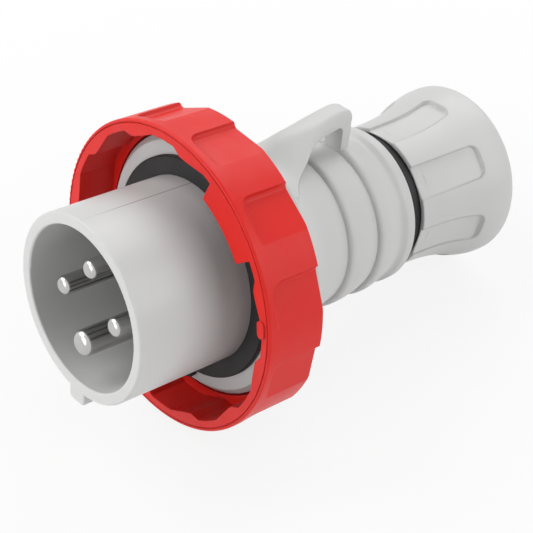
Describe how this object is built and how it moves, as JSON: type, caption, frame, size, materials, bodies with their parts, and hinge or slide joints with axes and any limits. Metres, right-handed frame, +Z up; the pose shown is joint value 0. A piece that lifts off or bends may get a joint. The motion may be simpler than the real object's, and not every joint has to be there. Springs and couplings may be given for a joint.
{
  "type": "industrial pin and sleeve plug",
  "caption": "Industrial pin and sleeve plug with a keyed collar round its pins, a red bayonet locking ring, a banded housing with a hanging ear and a fluted cable gland nut.",
  "frame": {"origin": "Bottom centre of the bounding box: the plane on which the plug rests on its locking ring and on its gland nut.", "axes": "+X is the horizontal direction of the plug's axis, towards the cable end, which the plug's rest lowers by about 10.6 degrees; +Y is across the plug; +Z is up, towards the hanging ear."},
  "size_m": [0.1386, 0.0824, 0.0842],
  "materials": {
    "light_plastic": "light grey moulded thermoplastic, satin",
    "grey_plastic": "grey moulded thermoplastic, satin",
    "red_plastic": "red moulded thermoplastic, semi-gloss",
    "dark_plastic": "dark grey glass-filled thermoplastic",
    "white_plastic": "natural low-friction thermoplastic",
    "black_rubber": "black elastomer",
    "plated_brass": "nickel-plated, turned",
    "steel": "zinc-plated steel"
  },
  "bodies": {
    "plug_body": {"collar_shell": "light_plastic", "contact_carrier": "dark_plastic", "contact_retainer": "dark_plastic", "earth_pin": "plated_brass", "earth_terminal_screw": "steel", "face_gasket": "black_rubber", "housing_seal": "black_rubber", "rear_housing": "grey_plastic", "neck_seal": "black_rubber", "clamp_cage": "dark_plastic", "cable_grommet": "black_rubber", "phase_pin_1": "plated_brass", "phase_terminal_screw_1": "steel", "phase_pin_2": "plated_brass", "phase_terminal_screw_2": "steel", "phase_pin_3": "plated_brass", "phase_terminal_screw_3": "steel", "housing_screw_1": "steel", "housing_screw_2": "steel", "retainer_screw_1": "steel", "retainer_screw_2": "steel"},
    "locking_ring": {"locking_ring": "red_plastic"},
    "gland_slider": {"thrust_washer": "white_plastic"},
    "gland_nut": {"gland_nut": "grey_plastic"}
  },
  "joints": [
    {"name": "ring_turn", "type": "hinge", "parent": "plug_body", "child": "locking_ring", "pos_m": [-0.06426, 0, 0.0484], "axis": [-0.983, 0, 0.1835], "range_deg": [0, 60]},
    {"name": "nut_advance", "type": "slide", "parent": "plug_body", "child": "gland_slider", "axis": [-0.983, 0, 0.1835], "range_m": [-0.003, 0.003]},
    {"name": "nut_turn", "type": "hinge", "parent": "gland_slider", "child": "gland_nut", "pos_m": [-0.06426, 0, 0.0484], "axis": [-0.983, 0, 0.1835], "range_deg": [-360, 360]}
  ],
  "couplings": [
    {"joint": "nut_advance", "follows": "nut_turn", "m_per_rad": 0.00047746}
  ]
}
